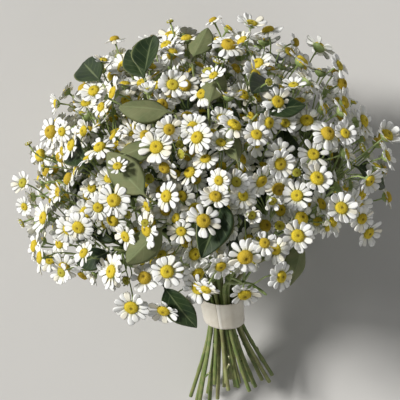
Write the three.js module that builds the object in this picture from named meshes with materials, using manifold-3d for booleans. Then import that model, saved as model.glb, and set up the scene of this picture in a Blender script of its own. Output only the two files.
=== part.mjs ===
// A hand-tied bunch of daisies, laid down on its side.
//
// The bunch is worked out in its own axes: x to the side, d towards the side that lies uppermost and
// h up along the stems from the middle of the ribbon. It is then tipped over on to the surface z = 0,
// with the flowers towards +Y and the cut ends towards -Y, and its underside is pressed flat there.

import * as THREE from 'three';
import { mergeVertices } from 'three/addons/utils/BufferGeometryUtils.js';
import Module from 'manifold-3d';

const wasm = await Module();
wasm.setup();

// Driving dimensions, in millimetres and degrees
const DOME_RADIUS = 149; // from the dome's centre to its outermost flower heads
const DOME_HEIGHT = 96; // the dome's centre above the middle of the ribbon
const DOME_EDGE = 90; // the polar angle of the lowest ring of heads
const DOME_LUMPS = 0.035; // how far the dome swells and dips, as a share of its radius
const HEAD_COUNT = 380;
const HEADS_PER_SOLID = 4; // one head in this many is solid here; the others are part of the finished look
const HEAD_RADIUS = 11.5;
const HEAD_DOME = 2.6; // the disc's top above the rays
const HEAD_CUP = 3.4; // the green cup's foot below the rays
const HEAD_SIDES = 7;
const HEAD_LAYERS = 4; // heads stand at this many depths
const LAYER_DEPTH = 6;
const HEAD_SMALLEST = 0.9; // the smallest head's share of the head radius
const HEAD_SPREAD = 0.18; // and how much larger a share the largest one has
const HEAD_TILT = 34; // the most that a head leans from straight out
const HEAD_JITTER = 2.6; // how far a head strays from its even place, in degrees of the dome
const STEM_COUNT = 26;
const STEM_RADIUS = 1.75;
const STEM_STEPS = 8;
const STEM_SPREAD = 88; // the polar angle of the outermost stem's end in the dome
const STEM_TURN = 154; // turns the whole arrangement of stems about the axis
const BRANCHING = 0.54; // stems branch at this share of the way to the dome
const TWIG_SHARE = 0.5; // twigs end at this share of the way from there to their heads
const TWIG_RADIUS = 0.95;
const STALK_RADIUS = 0.62;
const TWIGS = 4; // on each stem
const STEM_LEVELS = [-45, -16, 0, 15]; // heights that every stem's curve passes above its cut end
const TIE_RADIUS = 12.6; // from the axis to the outermost stem's centre at the ribbon
const SPLAY_LENGTH = 40; // the smaller it is, the wider the cut ends splay up and down
const SPLAY_SIDEWAYS = 28; // the same, to the sides
const TWIST = 13; // degrees that the stems turn about the axis in every 100 mm
const CUT_SHORTEST = 68; // from the middle of the ribbon to the cut ends
const CUT_LONGEST = 100;
const FOLIAGE = [2, 3, 5, 14, 18, 20]; // the stems that carry leaves instead of flowers
const LEAF_THICKNESS = 0.9;
const LEAF_WIDTH = 0.62; // as a share of its length
const LEAF_STALK = 6;
const LEAF_RISE = 18; // the least that a blade rises from the dome, in degrees
const LEAF_RISE_MORE = 14; // and how much more some of them do
const LEAF_LOWEST = 4; // the least height of a blade's foot
const RIBBON_WIDTH = 25;
const RIBBON_INNER = 16.9;
const RIBBON_WALL = 0.8;
const RIBBON_FLARE = 1.5; // how much wider the ribbon stands at its upper edge
const RIBBON_SIDES = 24;
const RIBBON_SLANT = -0.17; // how much higher its edges stand for each millimetre to the side
const TWINE_RADIUS = 15.75;
const TWINE_WIDTH = 5;
const TWINE_WALL = 0.8;
const LEAN = 26.5; // the bunch's axis rises this much from the surface
const TIE_HEIGHT = 62.7; // the middle of the ribbon above the surface
const PRESS = 12; // the softness of the pressed underside
const GAP = 0.35; // between neighbouring pieces
const GOLDEN = 137.508;

// Heads that stand out from the dome: polar angle, azimuth and distance from the dome's centre
const STRAY_HEADS = [
  [93, 116, 151],
  [96, 108, 143],
  [82, 120, 154],
  [66, 160, 162],
  [77, 158, 160],
  [83, 146, 158],
  [85, 137, 156],
  [19, 15, 166],
  [24, 4, 160],
  [43, -13, 161],
  [47, 3, 160],
  [67, 21, 166],
  [71, 26, 165],
  [73, 38, 163],
  [76, 50, 158],
  [90, 72, 150],
  [95, 83, 140],
  [90, 97, 140],
];

// Leaves: polar angle and azimuth of the blade's middle, its depth below the dome's surface, the way
// its tip points (0 up the dome, 90 to the side) and its length
const LEAVES = [
  [30, 176, -8, 100, 44],
  [20, 140, -8, 60, 34],
  [16, 133, -10, 25, 38],
  [35, 116, -4, 95, 36],
  [48, 116, 0, 120, 30],
  [55, 118, -4, 50, 42],
  [75, 111, 0, 135, 36],
  [27, 76, 0, -30, 32],
  [33, 49, 2, 105, 38],
  [43, 48, 2, -115, 32],
  [48, 77, 4, 0, 24],
  [72, 90, 8, 150, 44],
  [89, 65, 4, 150, 32],
  [96, 103, 6, -150, 38],
  [52, 147, 8, -100, 36],
  [81, 130, 6, 115, 30],
  [7, 51, -2, -65, 32],
  [77, 23, 2, -140, 38],
  [60, -62, 2, 30, 38],
  [48, -84, 2, -30, 38],
  [66, -112, 2, 120, 38],
  [42, -40, 3, -120, 36],
  [40, -130, 3, 60, 36],
  [80, -150, 4, 100, 38],
];

const rad = THREE.MathUtils.degToRad;
const vec = (x, y, z) => new THREE.Vector3(x, y, z);
const part = (n, share) => (n * share) % 1;
const pad = (n) => String(n).padStart(2, '0');

const materials = {
  spray: new THREE.MeshStandardMaterial({ color: 0xf1efe6, roughness: 0.6, flatShading: true }),
  foliage: new THREE.MeshStandardMaterial({ color: 0x6e7f45, roughness: 0.7, flatShading: true }),
  leaf: new THREE.MeshStandardMaterial({ color: 0x4d5f38, roughness: 0.5, flatShading: true }),
  ribbon: new THREE.MeshStandardMaterial({ color: 0xece3d0, roughness: 0.35, flatShading: true }),
  twine: new THREE.MeshStandardMaterial({ color: 0xb49a6b, roughness: 0.9, flatShading: true }),
};

// A unit vector at a polar angle from the axis and an azimuth about it
function heading(polar, azimuth) {
  const p = rad(polar);
  const a = rad(azimuth);
  return vec(Math.sin(p) * Math.cos(a), Math.sin(p) * Math.sin(a), Math.cos(p));
}

// The bunch's axes (x, d, h) turned and moved on to the surface
function tipped(v) {
  const c = Math.cos(rad(LEAN));
  const s = Math.sin(rad(LEAN));
  return vec(v.x, v.z * c - v.y * s, v.z * s + v.y * c + TIE_HEIGHT);
}

// A direction in the bunch's axes, turned the same way
const turned = (v) => tipped(v).sub(tipped(vec(0, 0, 0))).normalize();

// Lifts a point smoothly out of the surface
function pressed(v) {
  return vec(v.x, v.y, PRESS * Math.log(1 + Math.exp(v.z / PRESS)));
}

// A place on the dome, depth below its swelling surface, in the bunch's axes
function onDome(polar, azimuth, depth) {
  const p = rad(polar);
  const a = rad(azimuth);
  const lumps = Math.sin(3 * a + 0.8) * Math.sin(p) ** 2 + Math.sin(2 * p + 2 * a) * Math.sin(p);
  const r = DOME_RADIUS * (1 + 0.5 * DOME_LUMPS * lumps) - depth;
  return heading(polar, azimuth).multiplyScalar(r).add(vec(0, 0, DOME_HEIGHT));
}

// A closed three.js geometry as a manifold solid
function solid(geometry) {
  const bare = geometry.index ? geometry.clone() : geometry;
  for (const name of Object.keys(bare.attributes)) {
    if (name !== 'position') bare.deleteAttribute(name);
  }
  const merged = mergeVertices(bare, 1e-4);
  const index = merged.index.array;
  const kept = [];
  for (let i = 0; i < index.length; i += 3) {
    const [a, b, c] = index.slice(i, i + 3);
    if (a !== b && b !== c && c !== a) kept.push(a, b, c);
  }
  return new wasm.Manifold(new wasm.Mesh({
    numProp: 3,
    vertProperties: new Float32Array(merged.attributes.position.array),
    triVerts: new Uint32Array(kept),
  }));
}

// A manifold solid as a geometry
function geometryOf(body) {
  const mesh = body.getMesh();
  const geometry = new THREE.BufferGeometry();
  geometry.setAttribute('position', new THREE.BufferAttribute(mesh.vertProperties, 3));
  geometry.setIndex(new THREE.BufferAttribute(mesh.triVerts, 1));
  geometry.computeVertexNormals();
  return geometry;
}

// A rod with flat sides along a curve through points; grown is how much its sides are moved out
function rod(points, radius, sides, steps, grown = 0) {
  const outer = radius + grown / Math.cos(Math.PI / sides);
  const section = new THREE.Shape();
  for (let i = 0; i < sides; i += 1) {
    const angle = (2 * Math.PI * i) / sides;
    const corner = [outer * Math.cos(angle), outer * Math.sin(angle)];
    if (i === 0) section.moveTo(...corner);
    else section.lineTo(...corner);
  }
  const path = points.length === 2
    ? new THREE.LineCurve3(...points)
    : new THREE.CatmullRomCurve3(points, false, 'centripetal');
  return solid(new THREE.ExtrudeGeometry(section, { steps, extrudePath: path }));
}

// The largest body of a solid that a cut may have parted
function largest(body) {
  const bodies = body.decompose();
  bodies.sort((a, b) => b.volume() - a.volume());
  return bodies[0];
}

// One flower head as two low cones, base to base: the rays' spread with the disc above and the cup below
function headSolid(head, grown = 0) {
  const rim = head.radius + 4 * grown;
  const profile = [
    new THREE.Vector2(0, -HEAD_CUP - grown),
    new THREE.Vector2(rim, 0),
    new THREE.Vector2(0, HEAD_DOME + grown),
  ];
  const geometry = new THREE.LatheGeometry(profile, HEAD_SIDES);
  geometry.applyQuaternion(new THREE.Quaternion().setFromUnitVectors(vec(0, 1, 0), head.facing));
  geometry.translate(...head.at);
  return solid(geometry);
}

// Places a head: polar angle, azimuth, depth below the dome, and i, which picks its lean and size
function makeHead(polar, azimuth, depth, i) {
  const lean = rad(HEAD_TILT) * Math.sqrt(part(i, 0.8191725));
  const way = 2 * Math.PI * part(i, 0.6710436);
  const out = turned(heading(polar, azimuth));
  const side = vec(0, 1, 0).cross(out).normalize();
  const up = out.clone().cross(side);
  const facing = out.clone().multiplyScalar(Math.cos(lean));
  facing.addScaledVector(side, Math.sin(lean) * Math.cos(way));
  facing.addScaledVector(up, Math.sin(lean) * Math.sin(way));
  const radius = HEAD_RADIUS * (HEAD_SMALLEST + HEAD_SPREAD * part(i, 0.5497005));
  const at = pressed(tipped(onDome(polar, azimuth, depth)));
  const reach = Math.max(radius * Math.sqrt(1 - facing.z ** 2), -HEAD_DOME * facing.z, HEAD_CUP * facing.z);
  at.z = Math.max(at.z, reach);
  const isSolid = i % HEADS_PER_SOLID === 0 || i >= HEAD_COUNT;
  return { at, facing, radius, isSolid, toward: onDome(polar, azimuth, 0) };
}

function makeHeads() {
  const heads = [];
  const lowest = 1 - Math.cos(rad(DOME_EDGE));
  for (let i = 0; i < HEAD_COUNT; i += 1) {
    const even = THREE.MathUtils.radToDeg(Math.acos(1 - (lowest * (i + 0.5)) / HEAD_COUNT));
    const polar = even + HEAD_JITTER * (2 * part(i, 0.7548777) - 1);
    const stray = HEAD_JITTER * (2 * part(i, 0.5698403) - 1);
    const azimuth = i * GOLDEN + stray / Math.max(Math.sin(rad(even)), 0.25);
    const depth = LAYER_DEPTH * ((i % HEAD_LAYERS) + 0.5 * part(i, 0.4384472));
    heads.push(makeHead(polar, azimuth, depth, i));
  }
  STRAY_HEADS.forEach(([polar, azimuth, distance], j) => {
    heads.push(makeHead(polar, azimuth, DOME_RADIUS - distance, HEAD_COUNT + j));
  });
  return heads;
}

// One stem's place in the tie and in the dome
function makeStem(k) {
  const share = (k + 0.5) / STEM_COUNT;
  const polar = THREE.MathUtils.radToDeg(Math.acos(1 - (1 - Math.cos(rad(STEM_SPREAD))) * share));
  const azimuth = k * GOLDEN + STEM_TURN;
  const toward = onDome(polar, azimuth, 0);
  const across = TIE_RADIUS * Math.sqrt(share);
  const cut = -CUT_SHORTEST - (CUT_LONGEST - CUT_SHORTEST) * part(k, 0.6180340);
  // The stems dilate and twist below the tie, so that they never cross
  const level = (h) => {
    const angle = rad(azimuth + (TWIST * h) / 100);
    const x = across * Math.cos(angle) * Math.sqrt(1 + (h / SPLAY_SIDEWAYS) ** 2);
    const d = across * Math.sin(angle) * Math.sqrt(1 + (h / SPLAY_LENGTH) ** 2);
    return tipped(vec(x, d, h));
  };
  const fork = pressed(tipped(toward.clone().multiplyScalar(BRANCHING)));
  return { k, toward, fork, path: [level(cut), ...STEM_LEVELS.map(level), fork] };
}

// Shares heads or leaves out among stems, each to the one whose direction from the tie is nearest
function shareOut(things, stems) {
  const lots = stems.map(() => []);
  for (const thing of things) {
    const way = thing.toward.clone().normalize();
    const scores = stems.map((s) => s.toward.clone().normalize().dot(way));
    lots[scores.indexOf(Math.max(...scores))].push(thing);
  }
  return lots;
}

// A stem with its twigs and the stalks of its heads
function sprayWood(stem, heads, grown) {
  const pieces = [rod(stem.path, STEM_RADIUS, 5, STEM_STEPS, grown)];
  const axis = turned(stem.toward);
  const side = vec(0, 0, 1).cross(axis).normalize();
  const up = axis.clone().cross(side);
  for (let t = 0; t < TWIGS; t += 1) {
    const lot = heads.filter((head) => {
      const q = tipped(head.toward).sub(stem.fork);
      const angle = Math.atan2(q.dot(up), q.dot(side)) / (2 * Math.PI) + 0.5;
      return Math.floor(TWIGS * angle) % TWIGS === t;
    });
    if (lot.length > 0) {
      const middle = vec(0, 0, 0);
      for (const head of lot) middle.addScaledVector(head.at, 1 / lot.length);
      const knot = stem.fork.clone().lerp(middle, TWIG_SHARE);
      pieces.push(rod([stem.fork, knot], TWIG_RADIUS, 4, 1, grown));
      for (const head of lot.filter((h) => h.isSolid)) {
        pieces.push(rod([knot, head.at], STALK_RADIUS, 3, 1, grown));
      }
    }
  }
  return wasm.Manifold.union(pieces);
}

// A leaf's foot, middle and directions on the surface of the dome
function makeLeaf([polar, azimuth, depth, spin, length], i) {
  const out = turned(heading(polar, azimuth));
  const level = turned(heading(90, azimuth + 90));
  const up = out.clone().cross(level).negate();
  const along = up.multiplyScalar(Math.cos(rad(spin))).addScaledVector(level, Math.sin(rad(spin)));
  const rise = rad(LEAF_RISE + LEAF_RISE_MORE * part(i, 0.6180340));
  const facing = out.clone().multiplyScalar(Math.cos(rise)).addScaledVector(along, -Math.sin(rise));
  along.multiplyScalar(Math.cos(rise)).addScaledVector(out, Math.sin(rise)).normalize();
  const middle = pressed(tipped(onDome(polar, azimuth, depth)));
  const foot = middle.clone().addScaledVector(along, -0.5 * length);
  foot.z = Math.max(foot.z, LEAF_LOWEST);
  return { foot, along, facing: facing.normalize(), length, toward: onDome(polar, azimuth, 0) };
}

// A flat oval blade with its stalk, standing on the leaf's foot
function leafSolid(leaf, grown = 0) {
  const half = (t) => 0.5 * LEAF_WIDTH * leaf.length * Math.sin(Math.PI * t ** 0.85) ** 0.8;
  const edge = [0.12, 0.3, 0.5, 0.7, 0.88].map((t) => [half(t) + grown, t * leaf.length]);
  const stalk = 0.8 + grown;
  const right = [[stalk, -LEAF_STALK - grown], [stalk, 0], ...edge];
  const left = right.map(([x, y]) => [-x, y]).reverse();
  const outline = [...right, [0, leaf.length + grown], ...left];
  const shape = new THREE.Shape(outline.map(([x, y]) => new THREE.Vector2(x, y)));
  const depth = LEAF_THICKNESS + 2 * grown;
  const geometry = new THREE.ExtrudeGeometry(shape, { depth, bevelEnabled: false });
  geometry.translate(0, 0, -0.5 * depth);
  const side = leaf.along.clone().cross(leaf.facing);
  geometry.applyMatrix4(new THREE.Matrix4().makeBasis(side, leaf.along, leaf.facing));
  geometry.translate(...leaf.foot);
  return solid(geometry);
}

// A leafy stem: its twigs end just short of the leaves' stalks
function foliageWood(stem, leaves, grown) {
  const pieces = [rod(stem.path, STEM_RADIUS, 5, STEM_STEPS, grown)];
  for (const leaf of leaves) {
    const end = leaf.foot.clone().addScaledVector(leaf.along, -LEAF_STALK - GAP - TWIG_RADIUS);
    pieces.push(rod([stem.fork, end], TWIG_RADIUS, 4, 1, grown));
  }
  return wasm.Manifold.union(pieces);
}

// A ring about the bunch's axis: its wall's radii at the lower and upper edges, and how much it slants
function ring(lower, upper, wall, width, slant) {
  const profile = [
    new THREE.Vector2(lower, -width / 2),
    new THREE.Vector2(lower + wall, -width / 2),
    new THREE.Vector2(upper + wall, width / 2),
    new THREE.Vector2(upper, width / 2),
    new THREE.Vector2(lower, -width / 2),
  ];
  const geometry = new THREE.LatheGeometry(profile, RIBBON_SIDES);
  geometry.applyMatrix4(new THREE.Matrix4().makeShear(slant, 0, 0, 0, 0, 0));
  geometry.rotateX(rad(LEAN));
  geometry.translate(0, 0, TIE_HEIGHT);
  return solid(geometry);
}

const stems = Array.from({ length: STEM_COUNT }, (_, k) => makeStem(k));
const flowering = stems.filter((s) => !FOLIAGE.includes(s.k));
const leafy = stems.filter((s) => FOLIAGE.includes(s.k));
const headLots = shareOut(makeHeads(), flowering);
const solidHeads = headLots.map((lot) => lot.filter((head) => head.isSolid));
const leafLots = shareOut(LEAVES.map(makeLeaf), leafy);
const leaves = leafLots.flat();

const wood = [
  ...leafy.map((s, i) => ({ bare: foliageWood(s, leafLots[i], 0), fat: foliageWood(s, leafLots[i], GAP) })),
  ...flowering.map((s, i) => ({ bare: sprayWood(s, headLots[i], 0), fat: sprayWood(s, headLots[i], GAP) })),
];
wood.forEach((w, i) => {
  const earlier = wasm.Manifold.union(wood.slice(0, i).map((other) => other.fat));
  w.bare = i > 0 ? w.bare.subtract(earlier) : w.bare;
});
const allWood = wasm.Manifold.union(wood.map((w) => w.fat));

const blades = [];
leaves.forEach((leaf) => {
  const others = wasm.Manifold.union([allWood, ...blades.map((b) => b.fat)]);
  blades.push({ bare: largest(leafSolid(leaf).subtract(others)), fat: leafSolid(leaf, GAP) });
});
const allBlades = wasm.Manifold.union(blades.map((b) => b.fat));

const sprays = [];
const fatHeads = [];
flowering.forEach((stem, i) => {
  const own = leafy.length + i;
  const otherWood = wood.filter((_, j) => j !== own).map((w) => w.fat);
  const cutter = wasm.Manifold.union([...otherWood, allBlades, ...fatHeads]);
  const heads = wasm.Manifold.union(solidHeads[i].map((head) => headSolid(head))).subtract(cutter);
  sprays.push(largest(wood[own].bare.add(heads)));
  fatHeads.push(wasm.Manifold.union(solidHeads[i].map((head) => headSolid(head, GAP))));
});

const ribbon = ring(RIBBON_INNER, RIBBON_INNER + RIBBON_FLARE, RIBBON_WALL, RIBBON_WIDTH, RIBBON_SLANT);
const twineInner = TWINE_RADIUS - TWINE_WALL / 2;
const twine = ring(twineInner, twineInner, TWINE_WALL, TWINE_WIDTH, 0);

const bunch = new THREE.Group();
const add = (name, body, material) => {
  const mesh = new THREE.Mesh(geometryOf(body), material);
  mesh.name = name;
  bunch.add(mesh);
};
sprays.forEach((body, i) => add(`daisy_spray_${pad(i + 1)}`, body, materials.spray));
leafy.forEach((_, i) => add(`foliage_stem_${pad(i + 1)}`, largest(wood[i].bare), materials.foliage));
blades.forEach((blade, i) => add(`leaf_${pad(i + 1)}`, blade.bare, materials.leaf));
add('ribbon_wrap', ribbon, materials.ribbon);
add('binding_twine', twine, materials.twine);

// The frame's origin is at the middle of the bunch's underside
const box = new THREE.Box3().setFromObject(bunch);
const middle = box.getCenter(vec(0, 0, 0));
bunch.position.set(-middle.x, -middle.y, -box.min.z);

export default bunch;
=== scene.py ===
"""A hand-tied bunch of daisies lying on its side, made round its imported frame.

The bunch is laid out in its own axes: x to the side, d towards the side that lies uppermost and h up
along the stems from the middle of the ribbon. Lengths are in metres and angles in radians, apart from
the lists and constants that say millimetres or degrees.
"""

import math

import bpy
import numpy as np
from bpy.props import FloatProperty, FloatVectorProperty, IntProperty, PointerProperty
from mathutils import Matrix, Vector


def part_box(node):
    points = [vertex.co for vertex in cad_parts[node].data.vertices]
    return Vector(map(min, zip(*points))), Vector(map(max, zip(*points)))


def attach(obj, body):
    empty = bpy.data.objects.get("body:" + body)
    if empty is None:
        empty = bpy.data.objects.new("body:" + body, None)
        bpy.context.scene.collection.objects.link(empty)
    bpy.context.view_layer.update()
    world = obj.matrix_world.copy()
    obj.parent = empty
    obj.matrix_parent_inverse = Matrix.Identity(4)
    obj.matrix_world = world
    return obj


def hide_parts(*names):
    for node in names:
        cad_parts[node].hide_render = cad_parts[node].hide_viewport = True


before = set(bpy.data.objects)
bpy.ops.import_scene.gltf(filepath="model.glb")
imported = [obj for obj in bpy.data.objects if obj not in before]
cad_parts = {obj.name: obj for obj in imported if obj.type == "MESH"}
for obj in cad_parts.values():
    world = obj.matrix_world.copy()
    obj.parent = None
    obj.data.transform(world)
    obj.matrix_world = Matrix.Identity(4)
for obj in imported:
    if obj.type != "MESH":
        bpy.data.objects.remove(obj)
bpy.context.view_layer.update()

bl_info = {
    "name": "Daisy Bunch",
    "version": (1, 0, 0),
    "blender": (4, 5, 0),
    "location": "3D View > Sidebar > Bunch",
    "description": "Builds a hand-tied bunch of daisies round its frame",
    "category": "Object",
}

# The bunch's layout, the same as the frame's own
DOME_RADIUS = 0.149
DOME_HEIGHT = 0.096
DOME_LUMPS = 0.035
HEAD_COUNT = 380
HEAD_RADIUS = 0.0115
HEAD_SMALLEST = 0.9
HEAD_SPREAD = 0.18
HEAD_DOME = 0.0026
HEAD_CUP = 0.0034
HEAD_LAYERS = 4
LAYER_DEPTH = 0.006
STEM_COUNT = 26
STEM_RADIUS = 0.00175
STEM_RISE = 0.015
BRANCHING = 0.54
TWIG_SHARE = 0.5
TWIG_RADIUS = 0.00095
STALK_RADIUS = 0.00062
TWIGS = 4
TIE_RADIUS = 0.0126
SPLAY_LENGTH = 0.040
SPLAY_SIDEWAYS = 0.028
CUT_SHORTEST = 0.068
CUT_LONGEST = 0.100
FOLIAGE = (2, 3, 5, 14, 18, 20)
LEAF_WIDTH = 0.62
LEAF_STALK = 0.006
LEAF_LOWEST = 0.004
RIBBON_SLANT = -0.17
TIE_HEIGHT = 0.0627
PRESS = 0.012

# Angles of that layout, in degrees. The twist is for a metre of stem
DOME_EDGE = 90
HEAD_TILT = 34
HEAD_JITTER = 2.6
STEM_SPREAD = 88
STEM_TURN = 154
STEM_TWIST = 130
LEAF_RISE = 18
LEAF_RISE_MORE = 14
LEAN = 26.5
GOLDEN = 137.508

# Heads that stand out from the dome: polar angle, azimuth, both in degrees, and distance
STRAY_HEADS = np.array([
    (93, 116, 0.151), (96, 108, 0.143), (82, 120, 0.154), (66, 160, 0.162), (77, 158, 0.16),
    (83, 146, 0.158), (85, 137, 0.156), (19, 15, 0.166), (24, 4, 0.16), (43, -13, 0.161),
    (47, 3, 0.16), (67, 21, 0.166), (71, 26, 0.165), (73, 38, 0.163), (76, 50, 0.158),
    (90, 72, 0.15), (95, 83, 0.14), (90, 97, 0.14),
])

# Leaves: polar angle, azimuth, depth in millimetres, the way the tip points and length in millimetres.
# Their angles are in degrees
LEAVES = np.array([
    (30, 176, -8, 100, 44), (20, 140, -8, 60, 34), (16, 133, -10, 25, 38), (35, 116, -4, 95, 36),
    (48, 116, 0, 120, 30), (55, 118, -4, 50, 42), (75, 111, 0, 135, 36), (27, 76, 0, -30, 32),
    (33, 49, 2, 105, 38), (43, 48, 2, -115, 32), (48, 77, 4, 0, 24), (72, 90, 8, 150, 44),
    (89, 65, 4, 150, 32), (96, 103, 6, -150, 38), (52, 147, 8, -100, 36), (81, 130, 6, 115, 30),
    (7, 51, -2, -65, 32), (77, 23, 2, -140, 38), (60, -62, 2, 30, 38), (48, -84, 2, -30, 38),
    (66, -112, 2, 120, 38), (42, -40, 3, -120, 36), (40, -130, 3, 60, 36), (80, -150, 4, 100, 38),
], float)

# The leaves, counted from 0, that lie with their pale undersides outward
TURNED_OVER = (3, 4, 5, 6, 7, 10, 12, 16, 20, 22)

# Heads that have no solid in the frame: three in four of the dome's own, an inner layer, and small airy
# ones that stand out from the dome
HEADS_PER_SOLID = 4
LOOSE_TILT = 48  # degrees
LOOSE_SMALLEST = 0.80
LOOSE_SPREAD = 0.22
INNER_COUNT = 230
INNER_DEPTH = 0.026
INNER_LAYER = 0.020
AIRY_COUNT = 54
AIRY_RISE = 0.003
AIRY_SPREAD = 0.009
AIRY_SIZE = 0.82
THIN_FROM = 0.055  # beyond this far to the right, THIN_SHARE of them is left out
THIN_SHARE = 0.42

# Leaves deep inside the dome: how many, the widest polar angle in degrees, and the least depth and
# length in millimetres
INNER_LEAVES = 66
INNER_LEAF_EDGE = 84
INNER_LEAF_DEPTH = 34
INNER_LEAF_LENGTH = 36

# Flower heads, with sizes as shares of a head's radius. A head's age runs from 0 to 1
RAY_REACH = 1.1  # the rays stand a little proud of the frame's heads
RAY_THICKNESS = 0.00022
RAY_FOOT = 0.36
MISSING_RAYS = 0.05
BUD_AGE = 0.09
OPEN_AGE = 0.21
FADING_AGE = 0.72
BUD_SIZE = 0.46
BUD_RAYS = 11
BUD_FOOT = 0.62
BUD_DISC = 1.75
FLOWER_SEED = 7

# The ribbon and the twine under it
RIBBON_ROWS = 420
RIBBON_THICKNESS = 0.00026
RIBBON_RADIUS = 0.01702
RIBBON_STEP = 0.0004  # how much further out each turn lies
RIBBON_FLARE = 0.00075  # from its middle to its wider edge
RIBBON_MEAN_FLARE = 0.0006  # how much of that its length counts
RIBBON_MEAN_RADIUS = 0.0175  # for distances from its end
RIBBON_END = math.radians(108)  # the azimuth where it ends
RIBBON_CLIMB = 0.0004  # how far its turns climb in all
TWINE_TURNS = 5
TWINE_RADIUS = 0.00042
TWINE_RING = 0.01575
TWINE_RISE = 0.0019
TWINE_ROWS = 170

# How softly pieces are lifted out of the surface that they lie on
FINE_PRESS = 0.0006
STEM_PRESS = 0.0008
LEAF_PRESS = 0.0012

TILES = 4  # the rays and discs share a square of TILES by TILES tints
TILE_EDGE = 0.04
HANDLE = 0.35  # a curve's handles as a share of the distance between its ends

# The stage. AIM runs from the middle of the ribbon to where the camera looks, VIEW_WIDTH is what it
# takes in at its distance, and the lamps point at LIT_MIDDLE
AIM = np.array([-0.0064, 0.0939, 0.0407])
CAMERA_ELEVATION = math.radians(87.5)
CAMERA_ROLL = math.radians(-8)
CAMERA_DISTANCE = 1.0
VIEW_WIDTH = 0.338
LIT_MIDDLE = Vector((0.0, 0.04, 0.10))
FLOOR_HALF = 14.0
WORLD_COLOR = (0.96, 0.98, 1.0, 1.0)
WORLD_STRENGTH = 0.20
# Name, place, angle across in degrees, strength and colour
LAMPS = (
    ("key", (-2.1, 1.05, 1.95), 14, 3.75, (1.0, 0.985, 0.96)),
    ("fill", (0.9, -2.2, 1.5), 60, 0.34, (1.0, 0.96, 0.90)),
)

# Where the frame's own axis stands, read from the ring of twine, which is round and even
TIE = np.mean(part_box("binding_twine"), axis=0)
SHIFT = TIE - np.array([0, 0, TIE_HEIGHT])


def unit(v):
    """Vectors divided by their lengths."""
    return v / np.maximum(np.linalg.norm(v, axis=-1, keepdims=True), 1e-12)


def part(n, share):
    """The part of n times share after the point. An irrational share spreads n evenly over 0 to 1."""
    return (n * share) % 1


def dot(a, b):
    """Dot products along the last axis, kept as a column."""
    return (a * b).sum(-1, keepdims=True)


def between(a, b, angle):
    """Directions at an angle from a towards b: a times its cosine plus b times its sine."""
    return a * np.cos(angle)[..., None] + b * np.sin(angle)[..., None]


def circle(count):
    """Count angles spread evenly over a full turn."""
    return 2 * math.pi * np.arange(count) / count


def bell(v, width):
    """exp(-(v / width)^2): 1 where v is 0, and close to 0 from twice the width on."""
    return np.exp(-((v / width) ** 2))


def heading(polar, azimuth):
    """Unit vectors at a polar angle from the bunch's axis and an azimuth about it."""
    sine = np.sin(polar)
    return np.stack([sine * np.cos(azimuth), sine * np.sin(azimuth), np.cos(polar) + 0 * azimuth], -1)


def turned(v):
    """The bunch's axes laid over: x stays, h becomes forward and up, d becomes up and back."""
    c, s = math.cos(math.radians(LEAN)), math.sin(math.radians(LEAN))
    return np.stack([v[..., 0], v[..., 2] * c - v[..., 1] * s, v[..., 2] * s + v[..., 1] * c], -1)


def tipped(v):
    """Places in the bunch's axes, laid over and lifted by the height of the tie."""
    return turned(v) + np.array([0, 0, TIE_HEIGHT])


def pressed(v, softness=PRESS):
    """Lifts places out of the surface: z becomes softness times log(1 + exp(z / softness))."""
    lifted = softness * np.logaddexp(0, v[..., 2] / softness)
    return np.stack([v[..., 0], v[..., 1], lifted], -1)


def on_dome(polar, azimuth, depth=0.0):
    """Places on the dome: its radius swells with sin(3 azimuth) and sin(2 polar + 2 azimuth)."""
    sine = np.sin(polar)
    lumps = np.sin(3 * azimuth + 0.8) * sine**2 + np.sin(2 * polar + 2 * azimuth) * sine
    radius = DOME_RADIUS * (1 + 0.5 * DOME_LUMPS * lumps) - depth
    return heading(polar, azimuth) * radius[..., None] + np.array([0, 0, DOME_HEIGHT])


def even_polar(count, edge):
    """Polar angles in degrees, out to edge, that share a cap's area evenly: 1 - cos grows in equal steps."""
    lowest = 1 - math.cos(math.radians(edge))
    return np.degrees(np.arccos(1 - lowest * (np.arange(count) + 0.5) / count))


def spiral(count, start, depth):
    """Directions and depths of count heads on a golden-angle spiral over the dome, jittered."""
    i = np.arange(count) + start
    even = even_polar(count, DOME_EDGE)
    stray = HEAD_JITTER * (2 * part(i, 0.5698403) - 1)
    polar = even + HEAD_JITTER * (2 * part(i, 0.7548777) - 1)
    azimuth = i * GOLDEN + stray / np.maximum(np.sin(np.radians(even)), 0.25)
    return np.stack([polar, azimuth, depth(i)], 1)


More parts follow.
